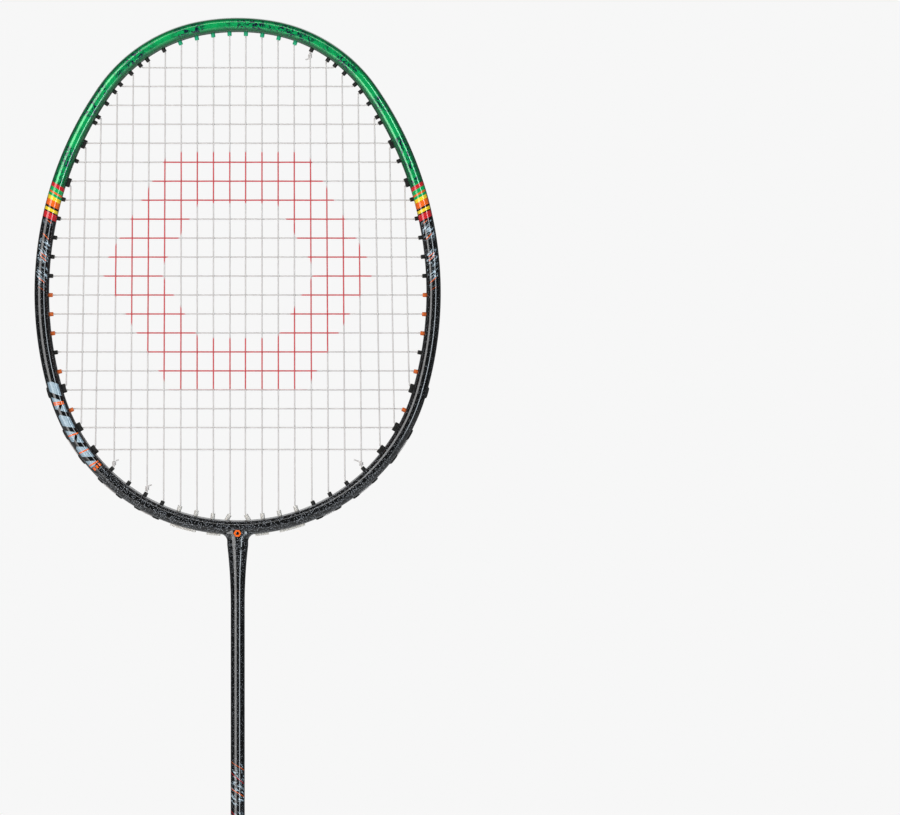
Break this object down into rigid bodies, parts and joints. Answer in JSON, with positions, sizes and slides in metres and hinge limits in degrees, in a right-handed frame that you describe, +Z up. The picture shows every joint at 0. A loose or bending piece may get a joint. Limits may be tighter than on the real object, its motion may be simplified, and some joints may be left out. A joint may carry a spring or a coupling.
{
  "type": "badminton racket",
  "caption": "Strung badminton racket: hollow oval hoop with grommets and a woven string bed, slim tube shaft, tapered cone cap and a wound, perforated grip.",
  "frame": {"origin": "centre of the flat butt end", "axes": "+Z runs up the shaft to the crown of the hoop; the string bed lies in the XZ plane, with its front face towards -Y and +X to the right"},
  "size_m": [0.1988, 0.0274, 0.675],
  "materials": {
    "hoop_paint": "metallic green over the crown, striped shoulders, gloss black below, clear-coated carbon",
    "throat_paint": "gloss black with a fine silver speckle, clear-coated carbon",
    "shaft_paint": "gloss black with silver-blue brush strokes, clear-coated carbon",
    "cone_plastic": "gloss black with a fine speckle",
    "insert": "moulded filled resin",
    "handle_wood": "sanded light hardwood",
    "butt_plastic": "moulded black plastic",
    "badge": "plain silver disc",
    "pins": "bright steel",
    "grip": "matt perforated polyurethane strip, stitched look along its edges",
    "tape": "soft matt elastic tape",
    "string": "white multifilament nylon with a red stencil",
    "grommet_green": "moulded nylon",
    "grommet_black": "moulded nylon",
    "grommet_orange": "moulded nylon",
    "grommet_clear": "clear natural nylon"
  },
  "bodies": {
    "root": {"head_frame": "hoop_paint", "t_joint": "throat_paint", "t_joint_core": "insert", "shaft": "shaft_paint", "cone_cap": "cone_plastic", "handle_half_front": "handle_wood", "handle_half_back": "handle_wood", "butt_cap": "butt_plastic", "butt_badge": "badge", "butt_pins": "pins", "grip_wrap": "grip", "finishing_tape": "tape", "main_string": "string", "cross_string": "string", "grommets_top": "grommet_green", "grommets_upper_left": "grommet_black", "grommets_upper_right": "grommet_black", "grommets_side_left": "grommet_orange", "grommets_side_right": "grommet_orange", "grommets_lower_left": "grommet_black", "grommets_lower_right": "grommet_black", "grommets_paired_left": "grommet_black", "grommets_paired_right": "grommet_black", "throat_grommets_left": "grommet_clear", "throat_grommets_right": "grommet_clear"}
  },
  "joints": []
}
